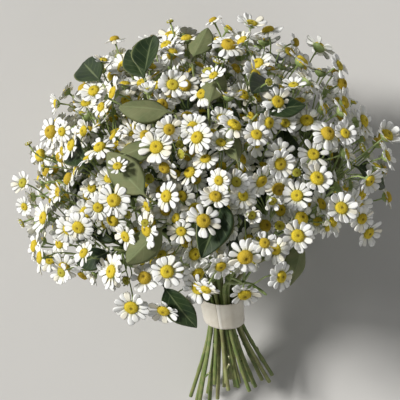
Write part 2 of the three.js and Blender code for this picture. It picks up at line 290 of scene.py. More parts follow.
def lay_heads():
    """Every flower head's place, direction and radius: outer ones, those listed, inner and airy ones.

    A head leans from straight out by the tilt times the square root of an even chance. Heads that have
    no solid in the frame lean further, are smaller and are thinned to the right. A head's centre is
    lifted until its rim, its disc and its cup clear the surface.
    """
    outer = spiral(HEAD_COUNT, 0, lambda i: LAYER_DEPTH * (i % HEAD_LAYERS + 0.5 * part(i, 0.4384472)))
    set_by_hand = STRAY_HEADS * (1, 1, -1) + (0, 0, DOME_RADIUS)
    inner = spiral(INNER_COUNT, 1000, lambda i: INNER_DEPTH + INNER_LAYER * part(i, 0.4384472))
    airy = spiral(AIRY_COUNT, 2000, lambda i: -AIRY_RISE - AIRY_SPREAD * part(i, 0.4384472))
    polar, azimuth, depth = np.concatenate([outer, set_by_hand, inner, airy]).T
    polar, azimuth = np.radians(polar), np.radians(azimuth)
    i = np.arange(len(polar))
    own = (i < HEAD_COUNT) & (i % HEADS_PER_SOLID == 0)
    framed = own | ((i >= HEAD_COUNT) & (i < HEAD_COUNT + len(STRAY_HEADS)))
    lean = np.radians(np.where(framed, HEAD_TILT, LOOSE_TILT)) * np.sqrt(part(i, 0.8191725))
    way = 2 * math.pi * part(i, 0.6710436)
    out = turned(heading(polar, azimuth))
    side = unit(np.cross([0, 1, 0], out))
    facing = between(out, between(side, np.cross(out, side), way), lean)
    radius = HEAD_RADIUS * (HEAD_SMALLEST + HEAD_SPREAD * part(i, 0.5497005))
    radius = radius * np.where(framed, 1, LOOSE_SMALLEST + LOOSE_SPREAD * part(i, 0.2360680))
    radius = radius * np.where(i < len(i) - AIRY_COUNT, 1, AIRY_SIZE)
    at = pressed(tipped(on_dome(polar, azimuth, depth)))
    rim = radius * np.sqrt(1 - facing[:, 2] ** 2)
    reach = np.maximum.reduce([rim, -HEAD_DOME * facing[:, 2], HEAD_CUP * facing[:, 2]])
    at[:, 2] = np.maximum(at[:, 2], reach)
    kept = framed | (part(i, 0.3247180) > THIN_SHARE * (at[:, 0] > THIN_FROM))
    toward = on_dome(polar, azimuth)
    return {"at": at[kept], "facing": facing[kept], "radius": radius[kept], "toward": toward[kept]}


def bezier(a, b, c, d, count):
    """Points on cubic curves from a to d, with b and c as their handles."""
    t = np.linspace(0, 1, count)[None, :, None]
    a, b, c, d = (v[:, None, :] for v in (a, b, c, d))
    return (1 - t) ** 3 * a + 3 * t * (1 - t) ** 2 * b + 3 * t**2 * (1 - t) * c + t**3 * d


def lay_stems():
    """Every stem's line: it twists with h and spreads as sqrt(1 + (h / splay)^2), then runs to its fork."""
    k = np.arange(STEM_COUNT)
    share = (k + 0.5) / STEM_COUNT
    polar = np.radians(even_polar(STEM_COUNT, STEM_SPREAD))
    azimuth = np.radians(k * GOLDEN + STEM_TURN)
    toward = on_dome(polar, azimuth)
    cut = -CUT_SHORTEST - (CUT_LONGEST - CUT_SHORTEST) * part(k, 0.6180340)[:, None]
    h = cut + (STEM_RISE - cut) * np.linspace(0, 1, 20)
    r = TIE_RADIUS * np.sqrt(share)[:, None]
    angle = azimuth[:, None] + math.radians(STEM_TWIST) * h
    x = r * np.cos(angle) * np.sqrt(1 + (h / SPLAY_SIDEWAYS) ** 2)
    d = r * np.sin(angle) * np.sqrt(1 + (h / SPLAY_LENGTH) ** 2)
    low = tipped(np.stack([x, d, h], -1))
    fork = pressed(tipped(toward * BRANCHING))
    start = low[:, -1]
    reach = HANDLE * np.linalg.norm(fork - start, axis=1)[:, None]
    lead, back = unit(start - low[:, -2]) * reach, unit(fork - start) * reach
    high = bezier(start, start + lead, fork - back, fork, 13)[:, 1:]
    return {"toward": toward, "fork": fork, "line": np.concatenate([low, high], 1)}


def lay_leaves(rows, turned_over=()):
    """Every leaf's foot, the way its blade runs and the way it faces, from rows like those of LEAVES."""
    polar, azimuth, spin = (np.radians(rows[:, n]) for n in (0, 1, 3))
    depth, length = rows[:, 2] / 1000, rows[:, 4] / 1000
    number = np.arange(len(rows))
    out = turned(heading(polar, azimuth))
    level = turned(heading(np.full(len(polar), math.pi / 2), azimuth + math.pi / 2))
    flat = between(-np.cross(out, level), level, spin)
    rise = np.radians(LEAF_RISE + LEAF_RISE_MORE * part(number, 0.6180340))
    facing, along = unit(between(out, -flat, rise)), unit(between(flat, out, rise))
    foot = pressed(tipped(on_dome(polar, azimuth, depth))) - along * 0.5 * length[:, None]
    foot[:, 2] = np.maximum(foot[:, 2], LEAF_LOWEST)
    return {
        "foot": foot,
        "along": along,
        "facing": facing,
        "length": length,
        "toward": on_dome(polar, azimuth),
        "over": np.where(np.isin(number, turned_over), -1, 1),
    }


def inner_rows():
    """Rows for the leaves deep inside the dome, spread evenly by a golden-angle spiral."""
    i = np.arange(INNER_LEAVES)
    depth = INNER_LEAF_DEPTH * (1 + part(i, 0.7548777))
    spin, length = 360 * part(i, 0.5698403), INNER_LEAF_LENGTH * (1 + part(i, 0.4384472) / 3)
    return np.stack([even_polar(INNER_LEAVES, INNER_LEAF_EDGE), i * GOLDEN + 50, depth, spin, length], 1)


def share_out(things, chosen):
    """For each thing, the place in chosen of the stem whose direction from the tie is nearest."""
    return np.argmax(unit(things["toward"]) @ unit(STEMS["toward"][chosen]).T, axis=1)


HEADS = lay_heads()
STEMS = lay_stems()
LEAF_PLAN = lay_leaves(LEAVES, TURNED_OVER)
INNER_PLAN = lay_leaves(inner_rows())
FLOWERING = [k for k in range(STEM_COUNT) if k not in FOLIAGE]
HEAD_STEM = share_out(HEADS, FLOWERING)
LEAF_STEM = share_out(LEAF_PLAN, list(FOLIAGE))
INNER_STEM = share_out(INNER_PLAN, list(FOLIAGE))
# Leaves are numbered stem by stem, as in the frame
LEAF_ORDER = np.argsort(LEAF_STEM, kind="stable")


def ring_faces(rows, ring):
    """The faces of a closed surface of rows rings, with a point at each end.

    Vertex 0 is the first point, then come the rings, then the last point. Returns the corners of all
    faces in a line, how many corners each face has, and each corner's place round and along.
    """
    r, j = (v.ravel() for v in np.meshgrid(np.arange(rows - 1), np.arange(ring), indexing="ij"))
    k = (j + 1) % ring
    quads = np.stack([r * ring + j, r * ring + k, (r + 1) * ring + k, (r + 1) * ring + j], 1) + 1
    around, along = np.stack([j, j + 1, j + 1, j], 1), np.stack([r, r, r + 1, r + 1], 1) + 1
    j = np.arange(ring)
    k = (j + 1) % ring
    zero, end = 0 * j, 0 * j + rows
    first = np.stack([zero, 1 + k, 1 + j], 1)
    last = np.stack([end * ring + 1, (end - 1) * ring + 1 + j, (end - 1) * ring + 1 + k], 1)
    first_uv = np.stack([j + 0.5, j + 1, j], 1), np.stack([zero, zero + 1, zero + 1], 1)
    last_uv = np.stack([j + 0.5, j, j + 1], 1), np.stack([end + 1, end, end], 1)
    corners = np.concatenate([first.ravel(), quads.ravel(), last.ravel()])
    totals = np.repeat([3, 4, 3], [ring, len(quads), ring])
    u = np.concatenate([first_uv[0].ravel(), around.ravel(), last_uv[0].ravel()]) / ring
    v = np.concatenate([first_uv[1].ravel(), along.ravel(), last_uv[1].ravel()]) / (rows + 1)
    return corners, totals, np.stack([u, v], 1)


def closed(first, rings, last):
    """Joins first points (n, 3), rings (n, rows, ring, 3) and last points into (n, points, 3)."""
    return np.concatenate([first[:, None], rings.reshape(len(rings), -1, 3), last[:, None]], 1)


class Skin:
    """Closed surfaces that together become one piece's mesh."""

    def __init__(self):
        self.points, self.corners, self.totals, self.uvs, self.tones = [], [], [], [], []
        self.count = 0

    def add(self, points, rows, ring, tone=0.0, tile=None, flat=None):
        """Adds copies of one surface: points is (copies, points, 3), tone a value for each point.

        tile is each copy's number in the square of tints, and flat gives each point's own place there
        instead of its place round and along.
        """
        copies, size = points.shape[:2]
        corners, totals, uv = ring_faces(rows, ring)
        uv = np.broadcast_to(uv if flat is None else flat[corners], (copies, len(corners), 2))
        if tile is not None:
            cell = np.stack([tile % TILES, tile // TILES % TILES], 1)[:, None, :]
            uv = (cell + TILE_EDGE + (1 - 2 * TILE_EDGE) * uv) / TILES
        start = self.count + size * np.arange(copies)[:, None]
        self.points.append(points.reshape(-1, 3))
        self.corners.append((corners + start).ravel())
        self.totals.append(np.tile(totals, copies))
        self.uvs.append(uv.reshape(-1, 2))
        self.tones.append(np.broadcast_to(tone, (copies, size)).ravel())
        self.count += copies * size

    def add_tubes(self, lines, radii, ring, tone, ribs=0.0, softness=STEM_PRESS):
        """Adds tubes round lines (n, rows, 3), lifted out of the surface."""
        self.add(pressed(tubes(lines, radii, ring, ribs), softness), lines.shape[1], ring, tone)

    def piece(self, name, maker, slot, *nodes):
        """Makes the piece's mesh and object, hangs it on the root body and hides the frame's parts that it
        replaces.
        """
        points = np.concatenate(self.points) + SHIFT
        corners, totals = np.concatenate(self.corners), np.concatenate(self.totals)
        starts = np.cumsum(totals) - totals
        mesh = bpy.data.meshes.new(name)
        mesh.vertices.add(len(points))
        mesh.vertices.foreach_set("co", points.astype(np.float32).ravel())
        mesh.loops.add(len(corners))
        mesh.loops.foreach_set("vertex_index", corners.astype(np.int32))
        mesh.polygons.add(len(totals))
        mesh.polygons.foreach_set("loop_start", starts.astype(np.int32))
        mesh.polygons.foreach_set("use_smooth", np.ones(len(totals), bool))
        layer = mesh.uv_layers.new(name="OFBake")
        layer.uv.foreach_set("vector", np.concatenate(self.uvs).astype(np.float32).ravel())
        tone = mesh.attributes.new("tone", "FLOAT", "POINT")
        tone.data.foreach_set("value", np.concatenate(self.tones).astype(np.float32))
        mesh.update(calc_edges=True)
        mesh.validate()
        mesh.materials.append(material_of(maker))
        piece = bpy.data.objects.new(name, mesh)
        bpy.context.scene.collection.objects.link(piece)
        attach(piece, "root")
        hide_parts(*nodes)
        return piece


def axes_across(facing):
    """Two directions square to each given one, so that the three make a right-handed set."""
    helper = np.where(np.abs(facing[:, 2:]) > 0.9, [[1.0, 0, 0]], [[0, 0, 1.0]])
    a = unit(np.cross(helper, facing))
    return a, np.cross(facing, a)


def tubes(lines, radii, ring, ribs=0.0, side=None):
    """Tubes round lines (n, rows, 3): each ring stands square to its line, and ribs swell it five times.

    Each ring starts at the direction nearest to side, which is square to the line's chord if not given.
    """
    ahead = unit(np.gradient(lines, axis=1))
    if side is None:
        side = -axes_across(unit(lines[:, -1] - lines[:, 0]))[0][:, None]
    a = unit(side - ahead * dot(side, ahead))
    angle = circle(ring)
    spokes = between(a[:, :, None], np.cross(ahead, a)[:, :, None], angle)
    swell = (1 + ribs * np.cos(5 * angle))[:, None]
    rings = lines[:, :, None] + spokes * swell * radii[..., None, None]
    return closed(lines[:, 0], rings, lines[:, -1])


def strap(root, ahead, across, up, length, width, rise, curl, cup, notch, ridge, thickness):
    """Narrow blades such as rays and bracts.

    Each runs from its root at the angle rise, which changes by curl on the way. Its half width is
    0.4 to 1 of the full one over the first 0.6, then falls as a rounded end. Over the width c from -1
    to 1 its middle surface stands at cup times c squared plus ridge times the squared sine of pi c. Its
    end is cut into lobes by notch.
    """
    u = np.array([0.0, 0.16, 0.36, 0.56, 0.74, 0.88, 0.965])
    c = np.array([1, 0.5, 0, -0.5, -1, -0.5, 0, 0.5])
    face = np.array([0, 1, 1, 1, 0, -1, -1, -1])
    opening = np.clip(u / 0.6, 0, 1)
    end = np.clip((u - 0.6) / 0.41, 0, 1)
    shape = (0.4 + 0.6 * opening**2 * (3 - 2 * opening)) * np.sqrt(1 - end**3.4)
    half = 0.5 * width[:, None] * shape
    angle = rise[:, None] + curl[:, None] * u
    run = (length[:, None] * u)[..., None]
    spine = root[:, None] + run * between(ahead[:, None], up[:, None], angle - 0.5 * curl[:, None] * u)
    forward = between(ahead[:, None], up[:, None], angle)
    above = between(up[:, None], -ahead[:, None], angle)
    height = cup[:, None] * c**2 + ridge[:, None] * np.sin(math.pi * c) ** 2
    height = half[..., None] * height[:, None, :] + 0.5 * thickness * face * (1 - 0.5 * u[:, None])
    lobes = notch[:, None] * (4 * np.abs(c) * (1 - np.abs(c)) - 0.4)
    ahead_by = length[:, None, None] * lobes[:, None, :] * u[:, None] ** 6
    rings = spine[:, :, None] + across[:, None, None] * (half[..., None] * c)[..., None]
    rings = rings + above[:, :, None] * height[..., None] + forward[:, :, None] * ahead_by[..., None]
    last = spine[:, -1] + forward[:, -1] * (length * (0.03 - 0.4 * notch))[:, None]
    return pressed(closed(spine[:, 0], rings, last), FINE_PRESS), len(u), len(c)


def flower_kinds(settings):
    """Each head's age from 0, a bud, to 1, past its best, and what follows from it.

    Rays rise by 48 degrees on buds. On other heads they open from 59 to 13 degrees, and after
    FADING_AGE they bend back by up to 20 degrees. All angles vary by chance.
    """
    rng = np.random.default_rng(FLOWER_SEED)
    count = len(HEADS["radius"])
    age = rng.random(count)
    budding = age < BUD_AGE
    opening = np.clip((age - BUD_AGE) / (OPEN_AGE - BUD_AGE), 0, 1)
    radius = HEADS["radius"] * RAY_REACH * np.where(budding, BUD_SIZE, 0.74 + 0.26 * opening)
    rays = rng.integers(settings.rays_fewest, settings.rays_most + 1, count)
    rays = np.where(budding, BUD_RAYS, rays)
    rise = np.where(budding, 48, 46 * (1 - opening) ** 1.5 + 13) - np.clip(age - FADING_AGE, 0, 1) * 70
    rise = np.radians(rise) + np.radians(rng.normal(0, 7, count))
    curl = np.radians(np.where(budding, 20, rng.normal(-14, 14, count)))
    return {"age": age, "budding": budding, "radius": radius, "rays": rays, "rise": rise, "curl": curl}


def rays_of(skin, chosen, kinds, settings):
    """The white rays of the chosen heads, set round each disc in two overlapping layers.

    Each ray's angle, roll, length, width, rise, curl and shape vary about its head's own by chance.
    """
    rng = np.random.default_rng(100 + int(chosen[0]))
    counts = kinds["rays"][chosen]
    head = np.repeat(chosen, counts)
    number = np.arange(len(head)) - np.repeat(np.cumsum(counts) - counts, counts)
    kept = rng.random(len(head)) > MISSING_RAYS
    head, number = head[kept], number[kept]
    n, layer = len(head), number % 2
    radius, facing, bud = kinds["radius"][head], HEADS["facing"][head], kinds["budding"][head]
    angle = 2 * math.pi / kinds["rays"][head] * (number + rng.normal(0, 0.17, n))
    ahead = between(*axes_across(facing), angle + 6 * part(head, 0.4142136))
    across = np.cross(facing, ahead)
    roll = rng.normal(0, 0.22, n)
    across, up = between(across, facing, roll), between(facing, -across, roll)
    inner = np.where(bud, BUD_FOOT, RAY_FOOT) * radius
    root = HEADS["at"][head] + ahead * inner[:, None] + facing * ((0.012 * layer - 0.03) * radius)[:, None]
    length = (radius - inner) * np.clip(rng.normal(1.0, 0.09, n), 0.7, 1.15)
    width = settings.ray_width * radius * rng.normal(1.0, 0.10, n) * np.where(bud, 0.7, 1)
    rise = kinds["rise"][head] + np.radians(4 * layer + rng.normal(0, 7, n))
    curl = kinds["curl"][head] + np.radians(rng.normal(0, 10, n))
    cup = rng.normal(-0.10, 0.14, n)
    notch = rng.uniform(0.02, 0.10, n)
    ridge = rng.uniform(0.04, 0.12, n)
    blades = strap(root, ahead, across, up, length, width, rise, curl, cup, notch, ridge, RAY_THICKNESS)
    skin.add(*blades, tile=rng.integers(0, TILES * TILES, n))


def turned_shape(heads, kinds, profile, ring, uneven=1.0):
    """Shapes turned about each head's own axis from a profile of radii and heights, in head radii."""
    facing, radius = HEADS["facing"][heads], kinds["radius"][heads][:, None]
    profile = np.broadcast_to(profile, (len(heads), *profile.shape[-2:]))
    out, high = profile[..., 0] * radius, profile[..., 1] * radius
    middle = HEADS["at"][heads][:, None] + facing[:, None] * high[..., None]
    a, b = axes_across(facing)
    spokes = between(a[:, None], b[:, None], circle(ring))
    rings = middle[:, 1:-1, None] + spokes[:, None] * (out[:, 1:-1, None] * uneven)[..., None]
    points = closed(middle[:, 0], rings, middle[:, -1])
    return pressed(points, FINE_PRESS), profile.shape[1] - 2, ring


def discs_of(skin, chosen, kinds, settings):
    """The yellow discs of the chosen heads: low domes with a dimple, higher on older heads."""
    rng = np.random.default_rng(200 + int(chosen[0]))
    ring, age = 12, kinds["age"][chosen]
    out = np.array([0, 0.93, 1.0, 0.93, 0.70, 0.34, 0])
    up = np.array([-0.30, -0.26, 0.02, 0.32, 0.54, 0.62, 0.40])
    share = settings.disc_share * np.where(kinds["budding"][chosen], BUD_DISC, 0.92 + 0.16 * age)[:, None]
    high = np.where(up > 0, up * (0.55 + 0.75 * age**2)[:, None], up)
    profile = np.stack([out * share, high * share], -1)
    uneven = 1 + 0.035 * rng.standard_normal((len(chosen), len(out) - 2, ring))
    angle = circle(ring)
    flat = np.stack([np.outer(out[1:-1], np.cos(angle)), np.outer(out[1:-1], np.sin(angle))], -1)
    flat = np.concatenate([[[0, 0]], flat.reshape(-1, 2), [[0, 0]]]) * 0.5 + 0.5
    tile = np.clip((age * TILES * TILES).astype(int), 0, TILES * TILES - 1)
    skin.add(*turned_shape(chosen, kinds, profile, ring, uneven), tile=tile, flat=flat)


def twig_knots(stem, heads):
    """Groups a stem's heads by the quarter round its direction that they stand in: (knot, heads) pairs."""
    axis = unit(turned(STEMS["toward"][stem]))
    side = unit(np.cross([0, 0, 1.0], axis))
    fork = STEMS["fork"][stem]
    q = tipped(HEADS["toward"][heads]) - fork
    quarter = np.arctan2(q @ np.cross(axis, side), q @ side) / (2 * math.pi) + 0.5
    quarter = np.floor(TWIGS * quarter) % TWIGS
    lots = (heads[quarter == t] for t in range(TWIGS))
    return [(fork + TWIG_SHARE * (HEADS["at"][lot].mean(0) - fork), lot) for lot in lots if len(lot)]


def stem_skin(skin, stem):
    """One cut stem: its radius narrows by 0.18 on the way and swells by a fifth at its nodes.

    Most stems keep the short stub of a twig that was trimmed off.
    """
    line = STEMS["line"][stem]
    rows = len(line)
    along = np.linspace(0, 1, rows)
    radius = STEM_RADIUS * (1 - 0.18 * along)
    for share in (0.14, 0.33, 0.72, 0.9):
        node = share + 0.07 * math.sin(3.1 * stem + 9 * share)
        radius = radius * (1 + 0.2 * bell(along - node, 0.012))
    ahead = unit(line[1] - line[0])
    whole = np.concatenate([[line[0] + ahead * 0.00002, line[0] + ahead * 0.0003], line[1:]])[None]
    radius = np.concatenate([[STEM_RADIUS * 0.9], radius])[None]
    ring = 12
    tone = np.concatenate([np.full(1 + ring, -1.0), np.repeat(np.linspace(0, 0.55, rows), ring), [0.5]])
    skin.add_tubes(whole, radius, ring, tone, 0.05)
    chance = part(stem, 0.7320508)
    if chance < 0.6:
        place, ring = int(3 + 9 * chance), 8
        run = unit(line[place + 1] - line[place])
        out = unit(np.cross(run, heading(math.pi / 2, 2.0 * stem)))
        stub = line[place] + np.linspace(0, 1, 6)[:, None] * (run * 0.006 + out * 0.0042)
        thick = np.array([[1.0, 1.0, 0.95, 0.9, 0.9, 0.82]]) * STEM_RADIUS * 0.62
        tone = np.repeat([0.1, -1.0], [1 + 5 * ring, ring + 1])
        skin.add_tubes(stub[None], thick, ring, tone)


def greens_of(skin, stem, heads, kinds):
    """A spray's stem, twigs, stalks, cups and small bracts."""
    rng = np.random.default_rng(300 + stem)
    stem_skin(skin, stem)
    fork = STEMS["fork"][stem]
    lead = unit(fork - STEMS["line"][stem][-3])
    taper = np.array([[1.15, 0.95, 0.85, 0.8, 0.8, 0.8, 0.82, 0.88, 1.0, 1.3]]) * STALK_RADIUS
    for knot, lot in twig_knots(stem, heads):
        reach, run = np.linalg.norm(knot - fork), unit(knot - fork)
        inner = fork + unit(knot - fork + lead * reach * 0.6) * reach * HANDLE
        line = bezier(fork[None], inner[None], (knot - run * reach * 0.3)[None], knot[None], 9)
        skin.add_tubes(line, TWIG_RADIUS * np.linspace(1.25, 0.85, 9)[None], 8, 0.6, 0.04)
        facing = HEADS["facing"][lot]
        end = HEADS["at"][lot] - facing * (0.36 * kinds["radius"][lot])[:, None]
        start = np.broadcast_to(knot, end.shape)
        gap = np.linalg.norm(end - start, axis=1)[:, None]
        leave = unit(run + 0.8 * unit(end - start))
        lines = bezier(start, start + leave * gap * 0.4, end - facing * gap * HANDLE, end, taper.size)
        skin.add_tubes(lines, np.repeat(taper, len(lot), 0), 6, 0.8, softness=FINE_PRESS)
        bracts_of(skin, knot, run, rng)
    cup = np.array([(0, -0.37), (0.10, -0.36), (0.27, -0.27), (0.40, -0.13), (0.42, -0.02), (0, -0.04)])
    skin.add(*turned_shape(heads, kinds, cup, 10), tone=1.0)


def bracts_of(skin, knot, run, rng):
    """Two or three narrow green bracts that stand out where a twig parts into stalks."""
    n = int(rng.integers(2, 4))
    ahead = between(*axes_across(run[None]), rng.random(n) * 2 * math.pi)
    up, root = np.broadcast_to(run, ahead.shape), np.broadcast_to(knot, ahead.shape)
    length, width = rng.uniform(0.008, 0.017, n), rng.uniform(0.0018, 0.0034, n)
    rise, curl = rng.uniform(0.5, 1.1, n), rng.normal(-0.3, 0.3, n)
    none = np.zeros(n)
    across = np.cross(up, ahead)
    blades = strap(root, ahead, across, up, length, width, rise, curl, none + 0.25, none, none, 0.0003)
    skin.add(*blades, tone=0.9)


def leaf_points(plan, n):
    """One leaf: a stalk that opens into an oval blade, folded a little along its midrib and arched.

    The half width is sin(pi t^0.85)^0.8 of the full one, t from foot to tip. The halves rise with the
    distance from the midrib to the power 1.3, the blade bends back with the square of the distance
    from its foot, its edge waves gently and a rib and side veins stand out.
    """
    length, over, along = plan["length"][n], plan["over"][n], plan["along"][n]
    t = np.array([0.02, 0.06, 0.12, 0.2, 0.3, 0.4, 0.5, 0.6, 0.7, 0.79, 0.87, 0.93, 0.975])
    half = np.maximum(0.5 * LEAF_WIDTH * length * np.sin(math.pi * t**0.85) ** 0.8, 0.0008)
    half = np.concatenate([[0.0008, 0.0007, 0.0007], half])[:, None]
    y = np.concatenate([np.array([-1.0, -0.6, -0.25]) * LEAF_STALK, t * length])[:, None]
    blade = np.clip((y / length) / 0.12, 0, 1)
    top = np.linspace(1, -1, 11)
    c = np.concatenate([top, top[-2:0:-1]])
    face = np.concatenate([[0], np.ones(9), [0], -np.ones(9)])
    wave = 0.0007 * np.sin(11 * y / length + 2.1 * n + 1.5 * np.sign(c)) * c**2
    rib = 0.0005 * bell(c, 0.09) * np.where(face > 0, 1, 1.3)
    veins = 0.00016 * np.sin(9 * 2 * math.pi * (y / length - 0.16 * np.abs(c))) * (1 - c**2)
    fold = 0.16 + 0.5 * part(n + 3, 0.7548777)
    bend = 0.10 + 0.16 * part(n, 0.5698403)
    lift = fold * half * np.abs(c) ** 1.3 + wave - rib + veins
    arch = over * (0.03 * length - bend * y**2 / length - 0.05 * y)
    thick = 0.00032 + 0.0005 * (1 - blade)
    z = blade * lift + arch + thick * face * (1 - 0.6 * np.abs(c) ** 4)
    facing = over * plan["facing"][n]
    rings = plan["foot"][n] - (half * c)[..., None] * np.cross(along, facing)
    rings = rings + y[..., None] * along + z[..., None] * facing
    last = rings[-1].mean(0) + along * 0.02 * length
    return pressed(closed(rings[0].mean(0)[None], rings[None], last[None]), LEAF_PRESS), len(y), len(c)


def leaf_twigs(skin, stem, plan, leaves):
    """A twig from the stem's fork to each leaf's stalk, which arrives along the leaf."""
    fork = STEMS["fork"][stem]
    lead = unit(fork - STEMS["line"][stem][-3])
    along = plan["along"][leaves]
    end = plan["foot"][leaves] - along * (LEAF_STALK + 0.0001)
    start = np.broadcast_to(fork, end.shape)
    gap, run = np.linalg.norm(end - start, axis=1)[:, None], unit(end - start)
    leave, arrive = unit(run + 0.5 * lead), unit(run + 0.4 * along)
    lines = bezier(start, start + leave * gap * 0.4, end - arrive * gap * 0.3, end, 12)
    radii = np.broadcast_to(TWIG_RADIUS * np.linspace(1.35, 0.9, 12), (len(leaves), 12))
    skin.add_tubes(lines, radii, 8, 0.7, 0.03)


def round_tie(angle, radius, high):
    """Places about the bunch's axis at an azimuth, a radius and a height above the tie's middle."""
    return tipped(np.stack([radius * np.cos(angle), radius * np.sin(angle), high + 0 * angle], -1))


def wound_ribbon(turns, width):
    """The ribbon's surface, wound round the stems, and its length along the middle.

    Its radius grows evenly with the turns, and towards the flowers by the flare. Near the end it rises
    over a fold, a bell curve of the distance left, and the end is pressed down. Creases follow sines of
    the angle, the edges are thicker, and it slants with the cosine of the angle.
    """
    angle = np.linspace(RIBBON_END - 2 * math.pi * turns, RIBBON_END, RIBBON_ROWS)[:, None]
    share = np.linspace(0, 1, RIBBON_ROWS)[:, None]
    top = np.linspace(-1, 1, 13)
    c = np.concatenate([top, top[::-1]])
    face = np.repeat([1, -1], len(top))
    radius = RIBBON_RADIUS + RIBBON_STEP * turns * share
    left = (1 - share) * turns * 2 * math.pi * RIBBON_MEAN_RADIUS
    fold = 0.00055 * bell(left - 0.0022, 0.0014) - 0.00012 * bell(left, 0.0008)
    creases = 0.00012 * np.sin(5 * angle + 3 * c) * (1 - c**2) + 0.00008 * np.sin(17 * angle)
    half = 0.5 * RIBBON_THICKNESS + 0.00006 * bell(1 - np.abs(c), 0.05)
    r = radius + fold + RIBBON_FLARE * (1 + c) + creases + face * half
    skew = RIBBON_SLANT * r * np.cos(angle) + RIBBON_CLIMB * (share - 0.5)
    rings = round_tie(angle, r, 0.5 * width * c + skew)
    step = angle[1, 0] - angle[0, 0]
    length = float(np.sum(0.5 * (radius[1:] + radius[:-1]) + RIBBON_MEAN_FLARE) * step)
    return closed(rings[0].mean(0)[None], rings[None], rings[-1].mean(0)[None]), len(c), length


class Wire:
    """One output in a material's nodes. Arithmetic on wires adds Math nodes."""

    def __init__(self, net, socket):
        self.net, self.socket = net, socket

    def math(self, operation, *others):
        return self.net.math(operation, self, *others)

    def __add__(self, other):
        return self.math("ADD", other)

    __radd__ = __add__

    def __sub__(self, other):
        return self.math("SUBTRACT", other)

    def __rsub__(self, other):
        return self.net.math("SUBTRACT", other, self)

    def __mul__(self, other):
        return self.math("MULTIPLY", other)

    __rmul__ = __mul__

    def __truediv__(self, other):
        return self.math("DIVIDE", other)

    def __pow__(self, other):
        return self.math("POWER", other)

    def wave(self):
        """Runs between 0 and 1: half the sine of this plus a half."""
        return self.math("SINE") * 0.5 + 0.5

    def step(self, low, high, start=0.0, end=1.0):
        """Runs smoothly from start to end while this runs from low to high."""
        settings = {"interpolation_type": "SMOOTHSTEP"}
        return self.net.add("ShaderNodeMapRange", settings, {0: self, 1: low, 2: high, 3: start, 4: end})


class Net:
    """The nodes of one material, which end in a Principled shader."""

    def __init__(self, name, **constants):
        self.material = bpy.data.materials.new(name + "_fine")
        self.material.use_nodes = True
        self.tree = self.material.node_tree
        self.shader = self.tree.nodes["Principled BSDF"]
        for socket, value in constants.items():
            self.shader.inputs[socket.replace("_", " ")].default_value = value

    def add(self, kind, settings, values, out=0):
        """Adds a node, sets it up, then sets or links its sockets. Returns one of its outputs."""
        node = self.tree.nodes.new(kind)
        for name, value in settings.items():
            setattr(node, name, value)
        for key, value in values.items():
            self.feed(node.inputs[key], value)
        return Wire(self, node.outputs[out])

    def feed(self, socket, value):
        if isinstance(value, Wire):
            self.tree.links.new(value.socket, socket)
        else:
            socket.default_value = value

    def math(self, operation, *values):
        return self.add("ShaderNodeMath", {"operation": operation}, dict(enumerate(values)))

    def vector(self, operation, *values):
        return self.add("ShaderNodeVectorMath", {"operation": operation}, dict(enumerate(values)))

    def place(self):
        """Places on the piece in its object coordinates."""
        return self.add("ShaderNodeTexCoord", {}, {}, out="Object")

    def unrolled(self):
        """Places on the piece's UV map: x round the surface, y along it."""
        return self.add("ShaderNodeUVMap", {"uv_map": "OFBake"}, {})

    def tone(self):
        return self.add("ShaderNodeAttribute", {"attribute_name": "tone"}, {}, out="Fac")

    def split(self, vector):
        node = self.add("ShaderNodeSeparateXYZ", {}, {0: vector}).socket.node
        return [Wire(self, socket) for socket in node.outputs]

    def noise(self, vector, scale, detail=3.0):
        values = {"Vector": vector, "Scale": scale, "Detail": detail, "Roughness": 0.55}
        return self.add("ShaderNodeTexNoise", {}, values)

    def cells(self, vector, scale, randomness=1.0):
        """The distance from the nearest of many scattered points."""
        values = {"Vector": vector, "Scale": scale, "Randomness": randomness}
        return self.add("ShaderNodeTexVoronoi", {"feature": "F1"}, values)

    def coated(self, color, *coats):
        """A colour under coats, each a factor from 0 to 1 and the colour that it brings in."""
        settings = {"data_type": "RGBA", "clamp_factor": True}
        for factor, coat in coats:
            a, b = (v if isinstance(v, Wire) else (*v, 1.0) for v in (color, coat))
            color = self.add("ShaderNodeMix", settings, {0: factor, 6: a, 7: b}, out=2)
        return color

    def bump(self, height, distance, strength):
        values = {"Strength": strength, "Distance": distance, "Height": height}
        self.feed(self.shader.inputs["Normal"], self.add("ShaderNodeBump", {}, values))

    def paint(self, roughness, color, *coats):
        """Gives the shader its roughness and its coated colour. Returns the finished material."""
        self.feed(self.shader.inputs["Roughness"], roughness)
        self.feed(self.shader.inputs["Base Color"], self.coated(color, *coats))
        return self.material

    def tile(self):
        """The place inside a copy's own tile, from 0 to 1 both ways, the tile and its chance value."""
        many = self.vector("MULTIPLY", self.unrolled(), (TILES, TILES, 1))
        x, y, _ = self.split(self.vector("FRACTION", many))
        cell = self.vector("FLOOR", many)
        chance = self.add("ShaderNodeTexWhiteNoise", {"noise_dimensions": "3D"}, {"Vector": cell})
        stretch = 1 - 2 * TILE_EDGE
        return (x - TILE_EDGE) / stretch, (y - TILE_EDGE) / stretch, cell, chance

    def across(self, around):
        """How far across a flat piece a place is, from 1 at one edge to -1 at the other on each face."""
        return 1 - 2 * (around * 2).math("FRACT")


